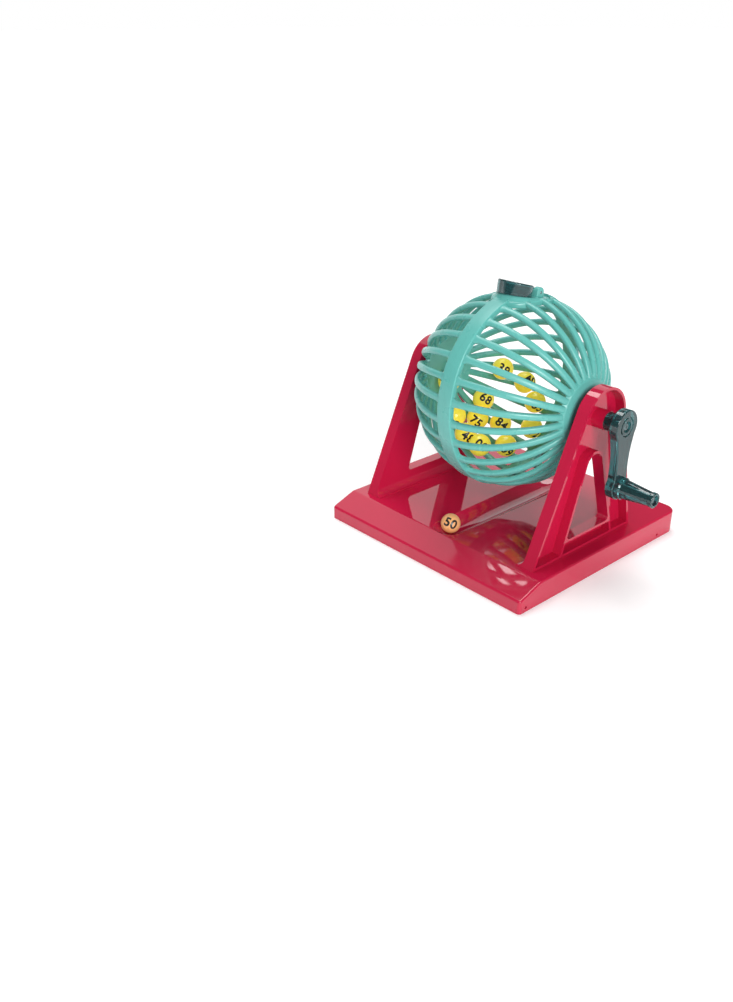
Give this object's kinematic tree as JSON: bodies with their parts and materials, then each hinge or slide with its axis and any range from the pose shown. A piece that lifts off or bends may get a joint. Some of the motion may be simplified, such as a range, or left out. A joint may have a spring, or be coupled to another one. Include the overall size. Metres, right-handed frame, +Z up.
{
  "type": "bingo cage",
  "caption": "Table-top bingo cage: ribbed globe of numbered balls with a lidded port, turned by a crank between two uprights over a ball tray.",
  "frame": {"origin": "on the table, in the middle of the tray's footprint, below the globe's centre", "axes": "+Z up, +X along the globe's axle towards the crank, +Y towards the back; the tray's low front edge faces -Y"},
  "size_m": [0.2749, 0.227, 0.2368],
  "materials": {
    "red_plastic": "high-gloss moulded crimson plastic",
    "teal_plastic": "semi-gloss moulded teal plastic",
    "smoky_clear_plastic": "dark smoky teal plastic, see-through and polished",
    "yellow_plastic": "glossy yellow plastic with printed black numbers",
    "plated_steel": "bright plated steel"
  },
  "bodies": {
    "stand": {"base_tray": "red_plastic", "upright_left": "red_plastic", "upright_right": "red_plastic"},
    "globe": {"globe_half_left": "teal_plastic", "globe_half_right": "teal_plastic", "port_collar": "teal_plastic", "lid_hinge_pin": "plated_steel", "crank_arm": "smoky_clear_plastic", "crank_screw": "plated_steel", "grip_pin": "plated_steel"},
    "lid": {"port_lid": "smoky_clear_plastic"},
    "grip": {"crank_grip": "smoky_clear_plastic"},
    "balls": {"ball_05": "yellow_plastic", "ball_08": "yellow_plastic", "ball_09": "yellow_plastic", "ball_12": "yellow_plastic", "ball_33": "yellow_plastic", "ball_39": "yellow_plastic", "ball_40": "yellow_plastic", "ball_48": "yellow_plastic", "ball_60": "yellow_plastic", "ball_68": "yellow_plastic", "ball_75": "yellow_plastic", "ball_84": "yellow_plastic"},
    "drawn": {"drawn_ball": "yellow_plastic"}
  },
  "joints": [
    {"name": "globe_spin", "type": "hinge", "parent": "stand", "child": "globe", "pos_m": [0, 0, 0.1356], "axis": [1, 0, 0], "continuous": true},
    {"name": "grip_spin", "type": "hinge", "parent": "globe", "child": "grip", "pos_m": [0.1405, 0, 0.0813], "axis": [1, 0, 0], "continuous": true},
    {"name": "lid_hinge", "type": "hinge", "parent": "globe", "child": "lid", "pos_m": [0, 0.01585, 0.22237], "axis": [-1, 0, 0], "range_deg": [0, 110]},
    {"name": "ball_tumble", "type": "hinge", "parent": "stand", "child": "balls", "pos_m": [0, 0, 0.1356], "axis": [1, 0, 0], "range_deg": [-35, 35]},
    {"name": "ball_roll", "type": "slide", "parent": "stand", "child": "drawn", "axis": [0, 0.9999, 0.0112], "range_m": [0, 0.12]}
  ]
}
